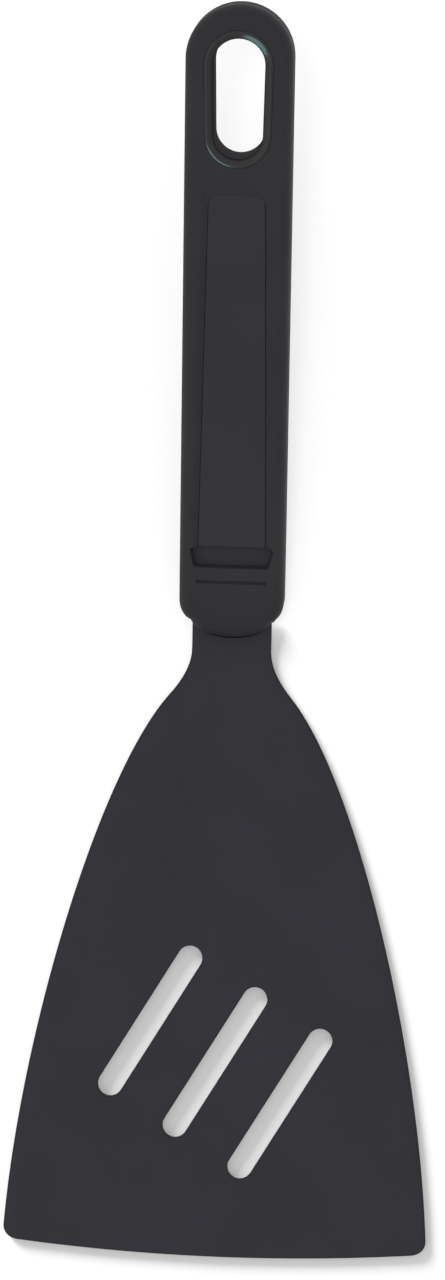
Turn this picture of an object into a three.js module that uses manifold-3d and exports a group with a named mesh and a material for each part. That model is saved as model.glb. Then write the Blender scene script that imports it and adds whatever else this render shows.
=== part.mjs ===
// Slotted grill spatula: a flat nylon blade whose tang is riveted between two hollow handle shells.
// Millimetres. +Y runs from the leading edge of the blade to the hanging end of the handle, +X is the
// right-hand side seen from above, and the blade lies on Z = 0. The handle rises from the neck, so its
// pieces are modelled in a group of their own: there +Y is the handle's axis and Z = 0 its parting plane.
import * as THREE from "three";
import { mergeVertices } from "three/addons/utils/BufferGeometryUtils.js";
import Module from "manifold-3d";

const wasm = await Module();
wasm.setup();

// ------------------------------------------------------------------ driving dimensions, blade
const LEADING_EDGE_Y = -150;
const LEADING_EDGE_SAG = 2.3; // how far the leading edge bows out between its corners
const CORNER_RADIUS = 3.3;
const BLADE_HALF_WIDTH = 51.55; // at the leading corners
const BLADE_THICKNESS = 2.4;
const EDGE_BEVEL = 0.7;
const NECK_HALF_WIDTH = 9.6;
const NECK_FLARE_Y = -2; // the straight neck starts to widen here
const NECK_FLARE_CONTROL_Y = -7.1;
const SIDE_CURVE = [[48.7, -97.8], [31.3, -32.5], [14.6, -13]]; // controls and end of the long convex side
const SLOT_WIDTH = 6;
const SLOT_CENTRES_APART = 36.6; // between the centres of a slot's two round ends
const SLOT_PITCH = 18.7; // across the slots
const SLOT_ANGLE = THREE.MathUtils.degToRad(30.6); // from the blade's own axis, leaning to +X
const MIDDLE_SLOT_CENTRE = [-1, -102.4];

// ------------------------------------------------------------------ driving dimensions, handle
const HANDLE_RISE = THREE.MathUtils.degToRad(14);
const NECK_BEND_RADIUS = 25; // of the neck's middle surface
const HANDLE_END = 153.9;
const HANDLE_HALF_WIDTH = 12.6;
const TOP_HEIGHT = 7; // handle face above the parting plane
const BOTTOM_DEPTH = 6; // handle back below the parting plane
const FACE_EDGE_RADIUS = 2.2;
const BACK_EDGE_RADIUS = 3;
const SHELL_WALL = 1.4;
const SHOULDER = 5; // the shells' shoulders meet the neck here
const SHOULDER_LENGTH = 6.5; // from there to the full handle width
const SHOULDER_CONTROLS = { out: 1.6, first: 2, second: 4 }; // out from the neck, and along from the shoulder
const NOSE_TIP = 1.6; // the top shell's rounded tongue ends here, over the neck
const NOSE_CONTROLS = [[5.2, 1.6], [8.6, 3.6]]; // of the tongue's plan curve
const NOSE_SIDE = 6.3; // that curve meets the top shell's shoulders here
const NOSE_EDGE = 2.2; // height of the tongue's edge above the parting plane
const NOSE_DOME_CONTROL_Y = 4;
const NOSE_DOME_END = 16;
const HEEL_END = 10; // the back touches the table from the shoulder to here
const HEEL_SWEEP_CONTROL_Y = 19;
const FULL_DEPTH_FROM = 36; // the back reaches its full depth here
const GAP = 0.3; // between pieces that touch
const OVERRUN = 1; // how far a cutting shape reaches past what it cuts

const TANG_HALF_WIDTH = 6;
const TANG_SHOULDER = 7; // the neck's full width stops here, inside the shells
const TANG_END = 74;
const TANG_OVERLAP = 0.2; // into the neck's bend
const NECK_CLEARANCE_LEAD = 3; // how much sooner the shells' room for the neck starts
const BEND_OVERLAP = 4; // of the bend into the flat blade
const STIFFENER_HALF_WIDTH = 3.6;
const STIFFENER_THICKNESS = 0.8;
const STIFFENER_START = 10;
const STIFFENER_END = 72;

const INLAY_THICKNESS = 0.9;
const INLAY_START = 25.3;
const INLAY_EASING = 0.2;
const RECESS_START = 20;
const RECESS_SPLAY = { inset: 0.9, length: 5 }; // the mouth's corners at the neck end
const RECESS_END = 115;
const RECESS_HALF_WIDTHS = [10.2, 8.8]; // of the mouth, at the neck end and at the hanging end
const RECESS_CORNER = 3;
const LIP_WIDTH = 2; // the mouth's sloping sides, which lead down to the inlay
const LIP_DEPTH = 0.8;
const LIP_END_LENGTH = 5; // the same slope at the hanging end
const POCKET_DEPTH = LIP_DEPTH + INLAY_THICKNESS + GAP;
const TROUGH_INSET = 0.4; // of the wide trough below the inlay, in from the mouth
const GROOVE_AT = 16.7;
const GROOVE_WIDTH = 0.9;
const GROOVE_DEPTH = 0.5;
const GROOVE_HALF_LENGTH = 8.5;

const HOLE_INNER = { y: 124.1, radius: 5.8 }; // the round end of the hang hole nearer the neck
const HOLE_OUTER = { y: 140.2, radius: 6.1 };
const EYELET_WALL = 1.2;
const EYELET_FLANGE = 2; // how far its rim reaches past the hole
const EYELET_FLANGE_THICKNESS = 1.1;
const EYELET_PROUD = 0.2; // its rim above the handle's face
const EYELET_ROUNDING = 0.5;
const EYELET_MOUTH = 1; // radius of the easing into the hole

const RIVETS = { rivet_front: 32, rivet_middle: 62, rivet_rear: 100 };
const RIVET_RADIUS = 1.5;
const RIVET_HEAD_RADIUS = 2.8;
const RIVET_HEAD_THICKNESS = 0.7;
const RIVET_DOME = 1;
const BOSS_RADIUS = 3.5;

// ------------------------------------------------------------------ materials
function plastic(colour, roughness) {
  return new THREE.MeshStandardMaterial({ color: colour, roughness, metalness: 0 });
}

function metal(colour, roughness) {
  return new THREE.MeshStandardMaterial({ color: colour, roughness, metalness: 1 });
}

const bladeNylon = plastic(0x36353a, 0.55);
const shellNylon = plastic(0x363538, 0.5);
const inlayPlastic = plastic(0x37363b, 0.35);
const eyeletPlastic = plastic(0x303236, 0.18);
const stainlessSteel = metal(0xb9bcc0, 0.35);
const rivetAluminium = metal(0xa9acb0, 0.4);

// ------------------------------------------------------------------ solids and booleans
function solidOf(geometry) {
  geometry.deleteAttribute("normal");
  geometry.deleteAttribute("uv");
  const merged = mergeVertices(geometry, 1e-4);
  return new wasm.Manifold(
    new wasm.Mesh({
      numProp: 3,
      vertProperties: merged.attributes.position.array,
      triVerts: new Uint32Array(merged.index.array),
    }),
  );
}

function geometryOf(solid) {
  const mesh = solid.getMesh();
  const geometry = new THREE.BufferGeometry();
  geometry.setAttribute("position", new THREE.BufferAttribute(mesh.vertProperties, 3));
  geometry.setIndex(new THREE.BufferAttribute(mesh.triVerts, 1));
  return geometry;
}

function named(name, solid, material) {
  const geometry = geometryOf(solid).toNonIndexed();
  geometry.computeVertexNormals();
  const mesh = new THREE.Mesh(geometry, material);
  mesh.name = name;
  return mesh;
}

// A plan outline raised from one height to another.
function prism(shape, bottom, top) {
  const geometry = new THREE.ExtrudeGeometry(shape, {
    depth: top - bottom,
    bevelEnabled: false,
    curveSegments: 12,
  });
  return solidOf(geometry.translate(0, 0, bottom));
}

// A plan outline raised from one height to another with both edges eased: `inset` is how far the end
// faces draw in, `drop` the height over which they do so.
function easedPrism(shape, bottom, top, inset, drop, steps) {
  const geometry = new THREE.ExtrudeGeometry(shape, {
    depth: top - bottom - 2 * drop,
    bevelThickness: drop,
    bevelSize: inset,
    bevelOffset: -inset,
    bevelSegments: steps,
    curveSegments: 12,
  });
  return solidOf(geometry.translate(0, 0, bottom + drop));
}

// An outline drawn in the side view, (y, z), spread to both sides of X = 0.
function sidePrism(shape, halfWidth) {
  const geometry = new THREE.ExtrudeGeometry(shape, {
    depth: 2 * halfWidth,
    bevelEnabled: false,
    curveSegments: 16,
  });
  geometry.translate(0, 0, -halfWidth);
  const sideView = new THREE.Matrix4().makeBasis(
    new THREE.Vector3(0, 1, 0),
    new THREE.Vector3(0, 0, 1),
    new THREE.Vector3(1, 0, 0),
  );
  return solidOf(geometry.applyMatrix4(sideView));
}

// A closed outline from its right-hand half; an end off the axis makes a straight edge across it.
function mirrored(half, divisions) {
  const right = half.getPoints(divisions);
  const offAxis = right.filter((point) => point.x > 1e-6);
  const left = offAxis.map((point) => new THREE.Vector2(-point.x, point.y));
  return new THREE.Shape([...right, ...left.reverse()]);
}

function roundBar(y, radius, bottom, top) {
  const geometry = new THREE.CylinderGeometry(radius, radius, top - bottom, 20);
  geometry.rotateX(Math.PI / 2);
  return solidOf(geometry.translate(0, y, (top + bottom) / 2));
}

// A straight slot with two round ends of their own radii, lying along Y.
function slotOutline(start, end, grow) {
  const startRadius = start.radius + grow;
  const endRadius = end.radius + grow;
  const shape = new THREE.Shape();
  shape.absarc(0, end.y, endRadius, 0, Math.PI, false);
  shape.absarc(0, start.y, startRadius, Math.PI, 2 * Math.PI, false);
  return shape;
}

// ------------------------------------------------------------------ blade, neck and tang
function bladeOutline() {
  const half = new THREE.Path();
  const cornerY = LEADING_EDGE_Y + LEADING_EDGE_SAG;
  const edgeEnd = BLADE_HALF_WIDTH - CORNER_RADIUS;
  half.moveTo(0, LEADING_EDGE_Y);
  half.quadraticCurveTo(edgeEnd / 2, LEADING_EDGE_Y, edgeEnd, cornerY);
  half.quadraticCurveTo(BLADE_HALF_WIDTH, cornerY, BLADE_HALF_WIDTH, cornerY + CORNER_RADIUS);
  half.bezierCurveTo(...SIDE_CURVE.flat());
  half.quadraticCurveTo(NECK_HALF_WIDTH, NECK_FLARE_CONTROL_Y, NECK_HALF_WIDTH, NECK_FLARE_Y);
  return mirrored(half, 14);
}

function drainSlots() {
  return [-1, 0, 1].map((index) => {
    const radius = SLOT_WIDTH / 2;
    const end = { y: SLOT_CENTRES_APART / 2, radius };
    const start = { y: -SLOT_CENTRES_APART / 2, radius };
    const x = MIDDLE_SLOT_CENTRE[0] + index * SLOT_PITCH * Math.cos(SLOT_ANGLE);
    const y = MIDDLE_SLOT_CENTRE[1] - index * SLOT_PITCH * Math.sin(SLOT_ANGLE);
    const turn = new THREE.Vector2(x, y);
    const points = slotOutline(start, end, 0).getPoints(9);
    return new THREE.Path(
      points.map((point) => point.rotateAround(new THREE.Vector2(), -SLOT_ANGLE).add(turn)),
    );
  });
}

// The neck where it bends up out of the blade's plane, in the side view.
function neckBendProfile() {
  const half = BLADE_THICKNESS / 2;
  const bendStart = -NECK_BEND_RADIUS * Math.tan(HANDLE_RISE / 2);
  const centreZ = half + NECK_BEND_RADIUS;
  const down = -Math.PI / 2;
  const shape = new THREE.Shape();
  shape.moveTo(NECK_FLARE_Y - BEND_OVERLAP, 0);
  shape.absarc(bendStart, centreZ, NECK_BEND_RADIUS + half, down, down + HANDLE_RISE, false);
  shape.absarc(bendStart, centreZ, NECK_BEND_RADIUS - half, down + HANDLE_RISE, down, true);
  shape.lineTo(NECK_FLARE_Y - BEND_OVERLAP, BLADE_THICKNESS);
  return shape;
}

// The straight end of the neck and the tang, in the handle's frame; `gap` grows it on every side and
// `lead` starts it sooner.
function tang(gap, lead) {
  const bendEnd = NECK_BEND_RADIUS * Math.tan(HANDLE_RISE / 2);
  const half = new THREE.Path();
  half.moveTo(NECK_HALF_WIDTH + gap, bendEnd - TANG_OVERLAP - lead);
  half.lineTo(NECK_HALF_WIDTH + gap, TANG_SHOULDER + gap);
  half.lineTo(TANG_HALF_WIDTH + gap, TANG_SHOULDER + gap);
  half.lineTo(TANG_HALF_WIDTH + gap, TANG_END - TANG_HALF_WIDTH);
  half.quadraticCurveTo(TANG_HALF_WIDTH + gap, TANG_END + gap, 0, TANG_END + gap);
  const thick = BLADE_THICKNESS / 2 + gap;
  return prism(mirrored(half, 8), -thick, thick);
}

function blade() {
  const outline = bladeOutline();
  outline.holes = drainSlots();
  const plate = easedPrism(outline, 0, BLADE_THICKNESS, EDGE_BEVEL, EDGE_BEVEL, 1);
  const bend = sidePrism(neckBendProfile(), NECK_HALF_WIDTH);
  const handleFrame = new THREE.Matrix4()
    .makeTranslation(0, 0, BLADE_THICKNESS / 2)
    .multiply(new THREE.Matrix4().makeRotationX(HANDLE_RISE));
  let tangSolid = tang(0, 0);
  for (const y of rivetsThroughTang()) {
    tangSolid = tangSolid.subtract(roundBar(y, RIVET_RADIUS + GAP, -BLADE_THICKNESS, BLADE_THICKNESS));
  }
  const tangGeometry = geometryOf(tangSolid).applyMatrix4(handleFrame);
  return plate.add(bend).add(solidOf(tangGeometry));
}

function rivetsThroughTang() {
  return Object.values(RIVETS).filter((y) => y < TANG_END);
}

function tangStiffener() {
  const bottom = BLADE_THICKNESS / 2 + GAP;
  const round = { radius: STIFFENER_HALF_WIDTH };
  const outline = slotOutline(
    { y: STIFFENER_START + STIFFENER_HALF_WIDTH, ...round },
    { y: STIFFENER_END - STIFFENER_HALF_WIDTH, ...round },
    0,
  );
  let strip = prism(outline, bottom, bottom + STIFFENER_THICKNESS);
  for (const y of rivetsThroughTang()) {
    strip = strip.subtract(roundBar(y, RIVET_RADIUS + GAP, 0, TOP_HEIGHT));
  }
  return strip;
}

// ------------------------------------------------------------------ handle shells
// Right-hand half of the handle's plan outline; `inset` moves it inwards.
function handleHalfOutline(start, inset) {
  const half = new THREE.Path();
  const side = HANDLE_HALF_WIDTH - inset;
  const neck = NECK_HALF_WIDTH + GAP - inset;
  const endCentre = HANDLE_END - HANDLE_HALF_WIDTH;
  half.moveTo(neck, start);
  const { out, first, second } = SHOULDER_CONTROLS;
  half.bezierCurveTo(neck + out, SHOULDER + first, side, SHOULDER + second, side, SHOULDER + SHOULDER_LENGTH);
  half.lineTo(side, endCentre);
  half.absarc(0, endCentre, side, 0, Math.PI / 2, false);
  return half;
}

function handleOutline(inset) {
  return mirrored(handleHalfOutline(SHOULDER + inset, inset), 12);
}

// The same outline with the rounded tongue that overlaps the neck.
function handleOutlineWithNose() {
  const nose = new THREE.Path();
  nose.moveTo(0, NOSE_TIP);
  nose.bezierCurveTo(...NOSE_CONTROLS.flat(), NECK_HALF_WIDTH + GAP, NOSE_SIDE);
  const body = handleHalfOutline(NOSE_SIDE, 0);
  nose.curves.push(...body.curves);
  return mirrored(nose, 12);
}

// A bar as long as the handle with rounded long edges, cut to the plan outline of a shell.
function roundedBlank(outline, bottom, top, edgeRadius) {
  const endCentre = HANDLE_END - HANDLE_HALF_WIDTH;
  const half = new THREE.Path();
  half.moveTo(HANDLE_HALF_WIDTH, -HANDLE_HALF_WIDTH);
  half.lineTo(HANDLE_HALF_WIDTH, endCentre);
  half.absarc(0, endCentre, HANDLE_HALF_WIDTH, 0, Math.PI / 2, false);
  const bar = easedPrism(mirrored(half, 12), bottom, top, edgeRadius, edgeRadius, 3);
  return bar.intersect(prism(outline, bottom, top));
}

// Side view of the top shell: the tongue's edge, its dome, then the level face.
function topShellProfile() {
  const shape = new THREE.Shape();
  shape.moveTo(NOSE_TIP - OVERRUN, GAP / 2);
  shape.lineTo(NOSE_TIP - OVERRUN, NOSE_EDGE);
  shape.quadraticCurveTo(NOSE_DOME_CONTROL_Y, TOP_HEIGHT, NOSE_DOME_END, TOP_HEIGHT);
  shape.lineTo(HANDLE_END + OVERRUN, TOP_HEIGHT);
  shape.lineTo(HANDLE_END + OVERRUN, GAP / 2);
  return shape;
}

// Depth below the parting plane of the table that the heel rests on, at a place along the handle.
function tableDepth(y) {
  return (BLADE_THICKNESS / 2 + y * Math.sin(HANDLE_RISE)) / Math.cos(HANDLE_RISE);
}

// Side view of the bottom shell, or of the hollow that lies `inset` inside it.
function bottomShellProfile(inset) {
  const shape = new THREE.Shape();
  const start = SHOULDER - OVERRUN;
  shape.moveTo(start, inset ? GAP : -GAP / 2);
  shape.lineTo(start, inset - tableDepth(start));
  shape.lineTo(HEEL_END, inset - tableDepth(HEEL_END));
  shape.quadraticCurveTo(HEEL_SWEEP_CONTROL_Y, inset - BOTTOM_DEPTH, FULL_DEPTH_FROM, inset - BOTTOM_DEPTH);
  shape.lineTo(HANDLE_END + OVERRUN, inset - BOTTOM_DEPTH);
  shape.lineTo(HANDLE_END + OVERRUN, inset ? GAP : -GAP / 2);
  return shape;
}

function holeThrough(grow) {
  return prism(slotOutline(HOLE_INNER, HOLE_OUTER, grow), -2 * BOTTOM_DEPTH, 2 * TOP_HEIGHT);
}

function eyeletFlangeSeat() {
  const outline = slotOutline(HOLE_INNER, HOLE_OUTER, EYELET_FLANGE + GAP);
  return prism(outline, TOP_HEIGHT - EYELET_FLANGE_THICKNESS - GAP, 2 * TOP_HEIGHT);
}

// Where the face starts to slope down to the inlay.
function mouthOutline() {
  const [neckEnd, hangEnd] = RECESS_HALF_WIDTHS;
  const half = new THREE.Path();
  half.moveTo(neckEnd - RECESS_SPLAY.inset, RECESS_START);
  half.lineTo(neckEnd, RECESS_START + RECESS_SPLAY.length);
  half.lineTo(hangEnd, RECESS_END - RECESS_CORNER);
  half.quadraticCurveTo(hangEnd, RECESS_END, hangEnd - RECESS_CORNER, RECESS_END);
  return mirrored(half, 6);
}

// The trough between the mouth's neck end and the inlay, nearly as wide as the mouth.
function troughOutline() {
  const half = new THREE.Path();
  const wide = RECESS_HALF_WIDTHS[0] - TROUGH_INSET;
  half.moveTo(wide - RECESS_SPLAY.inset, RECESS_START + TROUGH_INSET);
  half.lineTo(wide, INLAY_START);
  return mirrored(half, 1);
}

// The straight-sided pocket at the foot of the slope, or the inlay that lies `gap` inside it.
function pocketOutline(start, gap) {
  const [neckEnd, hangEnd] = RECESS_HALF_WIDTHS.map((width) => width - LIP_WIDTH - gap);
  const end = RECESS_END - LIP_END_LENGTH - gap;
  const corner = RECESS_CORNER - gap;
  const half = new THREE.Path();
  half.moveTo(neckEnd, start);
  half.lineTo(hangEnd, end - corner);
  half.quadraticCurveTo(hangEnd, end, hangEnd - corner, end);
  return mirrored(half, 6);
}

function faceRecess() {
  const lipFoot = TOP_HEIGHT - LIP_DEPTH;
  const slopes = easedPrism(mouthOutline(), lipFoot, 2 * TOP_HEIGHT, LIP_WIDTH, LIP_DEPTH, 1);
  const endSlope = new THREE.Shape();
  endSlope.moveTo(0, lipFoot);
  endSlope.lineTo(RECESS_END - LIP_END_LENGTH, lipFoot);
  endSlope.lineTo(RECESS_END, TOP_HEIGHT);
  endSlope.lineTo(RECESS_END, TOP_HEIGHT + OVERRUN);
  endSlope.lineTo(0, TOP_HEIGHT + OVERRUN);
  const floor = TOP_HEIGHT - POCKET_DEPTH;
  return slopes
    .intersect(sidePrism(endSlope, HANDLE_HALF_WIDTH))
    .add(prism(troughOutline(), floor, TOP_HEIGHT))
    .add(prism(pocketOutline(RECESS_START + RECESS_SPLAY.length - GAP, 0), floor, TOP_HEIGHT));
}

function noseGroove() {
  const shape = new THREE.Shape();
  shape.moveTo(-GROOVE_HALF_LENGTH, GROOVE_AT - GROOVE_WIDTH / 2);
  shape.lineTo(GROOVE_HALF_LENGTH, GROOVE_AT - GROOVE_WIDTH / 2);
  shape.lineTo(GROOVE_HALF_LENGTH, GROOVE_AT + GROOVE_WIDTH / 2);
  shape.lineTo(-GROOVE_HALF_LENGTH, GROOVE_AT + GROOVE_WIDTH / 2);
  return prism(shape, TOP_HEIGHT - GROOVE_DEPTH, TOP_HEIGHT + OVERRUN);
}

function topShell() {
  const ceiling = TOP_HEIGHT - POCKET_DEPTH - SHELL_WALL;
  const stiffenerTop = BLADE_THICKNESS / 2 + GAP + STIFFENER_THICKNESS;
  const blank = roundedBlank(handleOutlineWithNose(), -TOP_HEIGHT, TOP_HEIGHT, FACE_EDGE_RADIUS);
  const outer = blank.intersect(sidePrism(topShellProfile(), HANDLE_HALF_WIDTH + OVERRUN));
  const hollow = prism(handleOutline(SHELL_WALL), -OVERRUN, ceiling).subtract(
    holeThrough(EYELET_WALL + GAP + SHELL_WALL),
  );
  let shell = outer.subtract(hollow);
  for (const y of Object.values(RIVETS)) {
    const seat = y < TANG_END ? stiffenerTop + GAP : GAP / 2;
    shell = shell.add(roundBar(y, BOSS_RADIUS, seat, ceiling + SHELL_WALL / 2));
  }
  for (const y of Object.values(RIVETS)) {
    shell = shell.subtract(roundBar(y, RIVET_RADIUS + GAP, -OVERRUN, TOP_HEIGHT));
    shell = shell.subtract(
      roundBar(y, RIVET_HEAD_RADIUS + GAP, ceiling + SHELL_WALL - RIVET_HEAD_THICKNESS, TOP_HEIGHT),
    );
  }
  return shell
    .subtract(tang(GAP, NECK_CLEARANCE_LEAD))
    .subtract(faceRecess())
    .subtract(noseGroove())
    .subtract(holeThrough(EYELET_WALL + GAP))
    .subtract(eyeletFlangeSeat());
}

function bottomShell() {
  const halfWide = HANDLE_HALF_WIDTH + OVERRUN;
  const blank = roundedBlank(handleOutline(0), -BOTTOM_DEPTH, BOTTOM_DEPTH, BACK_EDGE_RADIUS);
  const outer = blank.intersect(sidePrism(bottomShellProfile(0), halfWide));
  const hollow = prism(handleOutline(SHELL_WALL), -2 * BOTTOM_DEPTH, OVERRUN)
    .intersect(sidePrism(bottomShellProfile(SHELL_WALL), halfWide))
    .subtract(holeThrough(EYELET_WALL + GAP + SHELL_WALL));
  let shell = outer.subtract(hollow);
  for (const y of Object.values(RIVETS)) {
    const seat = y < TANG_END ? -BLADE_THICKNESS / 2 - GAP : -GAP / 2;
    shell = shell.add(roundBar(y, BOSS_RADIUS, -BOTTOM_DEPTH + SHELL_WALL / 2, seat));
  }
  for (const y of Object.values(RIVETS)) {
    shell = shell.subtract(roundBar(y, RIVET_RADIUS + GAP, -2 * BOTTOM_DEPTH, OVERRUN));
    shell = shell.subtract(
      roundBar(y, RIVET_HEAD_RADIUS + GAP, -2 * BOTTOM_DEPTH, RIVET_DOME / 2 - BOTTOM_DEPTH),
    );
  }
  return shell
    .subtract(tang(GAP, NECK_CLEARANCE_LEAD))
    .subtract(holeThrough(EYELET_WALL + GAP));
}

// ------------------------------------------------------------------ pieces fitted to the shells
function gripInlay() {
  const top = TOP_HEIGHT - LIP_DEPTH;
  const outline = pocketOutline(INLAY_START, GAP);
  return easedPrism(outline, top - INLAY_THICKNESS, top, INLAY_EASING, INLAY_EASING, 1);
}

function hangHoleEyelet() {
  const flangeBottom = TOP_HEIGHT - EYELET_FLANGE_THICKNESS;
  const flange = easedPrism(
    slotOutline(HOLE_INNER, HOLE_OUTER, EYELET_FLANGE),
    flangeBottom - EYELET_FLANGE_THICKNESS,
    TOP_HEIGHT + EYELET_PROUD,
    EYELET_ROUNDING,
    EYELET_ROUNDING,
    2,
  ).intersect(prism(slotOutline(HOLE_INNER, HOLE_OUTER, 2 * EYELET_FLANGE), flangeBottom, 2 * TOP_HEIGHT));
  const sleeve = prism(
    slotOutline(HOLE_INNER, HOLE_OUTER, EYELET_WALL),
    -BOTTOM_DEPTH,
    TOP_HEIGHT - EYELET_FLANGE_THICKNESS / 2,
  );
  const mouth = easedPrism(
    slotOutline(HOLE_INNER, HOLE_OUTER, EYELET_MOUTH),
    TOP_HEIGHT - EYELET_MOUTH,
    TOP_HEIGHT + 3 * EYELET_MOUTH,
    EYELET_MOUTH,
    EYELET_MOUTH,
    2,
  );
  return flange.add(sleeve).subtract(holeThrough(0)).subtract(mouth);
}

// A rivet: a flat head under the inlay, a shank through shells and tang, and a domed head on the back.
function rivet(y) {
  const headTop = TOP_HEIGHT - POCKET_DEPTH - GAP / 2;
  const domeBase = RIVET_DOME / 2 - BOTTOM_DEPTH - GAP;
  const profile = new THREE.Path();
  profile.moveTo(0, domeBase - RIVET_DOME);
  profile.quadraticCurveTo(RIVET_HEAD_RADIUS * 0.8, domeBase - RIVET_DOME, RIVET_HEAD_RADIUS, domeBase);
  profile.lineTo(RIVET_RADIUS, domeBase);
  profile.lineTo(RIVET_RADIUS, headTop - RIVET_HEAD_THICKNESS + GAP);
  profile.lineTo(RIVET_HEAD_RADIUS, headTop - RIVET_HEAD_THICKNESS + GAP);
  profile.lineTo(RIVET_HEAD_RADIUS, headTop);
  profile.lineTo(0, headTop);
  const geometry = new THREE.LatheGeometry(profile.getPoints(4), 20);
  geometry.rotateX(Math.PI / 2);
  return solidOf(geometry.translate(0, y, 0));
}

// ------------------------------------------------------------------ assembly
const handle = new THREE.Group();
handle.position.z = BLADE_THICKNESS / 2;
handle.rotation.x = HANDLE_RISE;
handle.add(
  named("tang_stiffener", tangStiffener(), stainlessSteel),
  named("handle_top_shell", topShell(), shellNylon),
  named("handle_bottom_shell", bottomShell(), shellNylon),
  named("grip_inlay", gripInlay(), inlayPlastic),
  named("hang_hole_eyelet", hangHoleEyelet(), eyeletPlastic),
);
for (const [name, y] of Object.entries(RIVETS)) {
  handle.add(named(name, rivet(y), rivetAluminium));
}

const spatula = new THREE.Group();
spatula.add(named("blade", blade(), bladeNylon), handle);

export default spatula;
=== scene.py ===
"""Slotted grill spatula: the looks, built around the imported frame. Metres; +Y runs from the blade's leading
edge to the handle's hanging end, +Z is up, and the blade lies on Z = 0."""

import math

import bmesh
import bpy
from mathutils import Matrix, Vector


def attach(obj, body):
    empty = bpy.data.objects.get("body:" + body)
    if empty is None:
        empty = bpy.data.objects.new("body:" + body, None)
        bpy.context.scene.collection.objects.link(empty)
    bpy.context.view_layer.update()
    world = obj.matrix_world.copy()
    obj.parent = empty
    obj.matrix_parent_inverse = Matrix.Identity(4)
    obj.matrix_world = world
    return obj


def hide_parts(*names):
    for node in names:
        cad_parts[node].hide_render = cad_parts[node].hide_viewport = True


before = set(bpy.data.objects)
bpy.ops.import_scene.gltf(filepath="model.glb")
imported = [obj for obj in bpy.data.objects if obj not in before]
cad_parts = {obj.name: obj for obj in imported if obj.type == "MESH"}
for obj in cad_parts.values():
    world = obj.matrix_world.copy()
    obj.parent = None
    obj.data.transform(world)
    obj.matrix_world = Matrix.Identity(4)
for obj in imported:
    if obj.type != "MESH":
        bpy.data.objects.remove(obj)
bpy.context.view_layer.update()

MM = 0.001

# ---------------------------------------------------------------- driving sizes, in mm as in the CAD part
BLADE_THICKNESS = 2.4
HANDLE_RISE = math.radians(14)
NECK_BEND_RADIUS = 25
NECK_HALF_WIDTH = 9.6
BLADE_HALF_WIDTH = 51.55
LEADING_EDGE_Y = -150
LEADING_EDGE_SAG = 2.3
CORNER_RADIUS = 3.3
SLOT_RADIUS = 3
SLOT_CENTRES_APART = 36.6
SLOT_PITCH = 18.7
SLOT_ANGLE = math.radians(30.6)
MIDDLE_SLOT_CENTRE = (-1, -102.4)
SIDE_CURVE = ((48.7, -97.8), (31.3, -32.5), (14.6, -13))  # controls and end of the blade's long side
NECK_FLARE_CONTROLS = ((11.27, -9.07), (NECK_HALF_WIDTH, -5.4))
NECK_FLARE_Y = -2  # the straight neck starts to widen here

TANG_SHOULDER = 7
TANG_HALF_WIDTH = 6
TANG_END = 74
TANG_HOLE_RADIUS = 1.8

HANDLE_END = 153.88
HANDLE_HALF_WIDTH = 12.6
TOP_HEIGHT = 7
BOTTOM_DEPTH = 6
SHOULDER = 5
SHOULDER_LENGTH = 6.5
SHOULDER_OUT = 1.6  # the shoulder curve's first control, out from the neck
SHOULDER_CONTROLS = (2, 4)  # both its controls, along from the shoulder
FACE_EDGE_RADIUS = 2.6
FACE_EDGE_START = 3.4  # above the parting plane
BACK_EDGE_RADIUS = 3
BACK_EDGE_START = 2.6  # below the parting plane
NOSE_TIP = 1.6
NOSE_SIDE = 6.3
NOSE_CONTROLS = ((5.2, NOSE_TIP), (8.6, 3.6))
NOSE_EDGE = 2.2
CHANNEL_OUTWARD = 0.32  # the channel in the neck, to either side of the tongue's edge
CHANNEL_INWARD = 0.5
CHANNEL_DEPTH = 0.45
NOSE_DOME_CONTROL = 4
NOSE_DOME_END = 16
PARTING = 0.12  # half the seam between the two shells
HEEL_END = 10
FULL_DEPTH_FROM = 36
SHELL_WALL = 1.4
NECK_ROOM = 0.12
BORE_CLEARANCE = 1.3  # the shells' bore beyond the hang hole, which the liner fills
GAP = 0.3

RECESS_START = 20
RECESS_END = 115
RECESS_HALF_WIDTHS = (10.2, 8.8)
RECESS_CORNER = 3.4
RECESS_SPLAY = 0.9  # how far the trough draws in at its neck end
TROUGH_INSET = 0.4
TROUGH_STEP = 0.9  # the trough narrows to the pocket this far before the inlay
LIP_WIDTH = 2
LIP_DEPTH = 0.8
LIP_END_LENGTH = 5
INLAY_START = 25.3
INLAY_THICKNESS = 0.9
INLAY_SEAM = 0.1
INLAY_END_SEAM = 0.03
INLAY_CORNER = 0.7
INLAY_END_CORNER = 2.4
POCKET_DEPTH = LIP_DEPTH + INLAY_THICKNESS + GAP
GROOVE_AT = 16.7
GROOVE_HALF_LENGTH = 8.1
GROOVE_RADIUS = 0.42
HOLE_INNER = (124.1, 5.8)  # the round ends of the hang hole: place along the handle, radius
HOLE_OUTER = (140.2, 6.1)
SEAT_CLEARANCE = 2.02  # the liner's seat in the face, beyond the hang hole
SEAT_FLOOR = 5.6
RIVETS = {"rivet_front": 32, "rivet_middle": 62, "rivet_rear": 100}
RIVET_HOLE_RADIUS = 1.65
RIVET_SEAT_RADIUS = 2.95
BOSS_RADIUS = 3.5
HEAD_POCKET_FLOOR = 4.3  # where the rivets' flat heads sit, under the inlay
TOP_CEILING = TOP_HEIGHT - POCKET_DEPTH - SHELL_WALL
FRONT_BOSS_END = 2.6  # over the stiffener


# ---------------------------------------------------------------- outlines: (x, y) lists, counter-clockwise
def bezier(a, b, c, d, steps):
    """Points of a cubic curve from a to d, without its last point."""
    points = []
    for i in range(steps):
        t = i / steps
        w = ((1 - t) ** 3, 3 * (1 - t) ** 2 * t, 3 * (1 - t) * t * t, t**3)
        points.append(tuple(sum(k * p[j] for k, p in zip(w, (a, b, c, d))) for j in (0, 1)))
    return points


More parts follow.
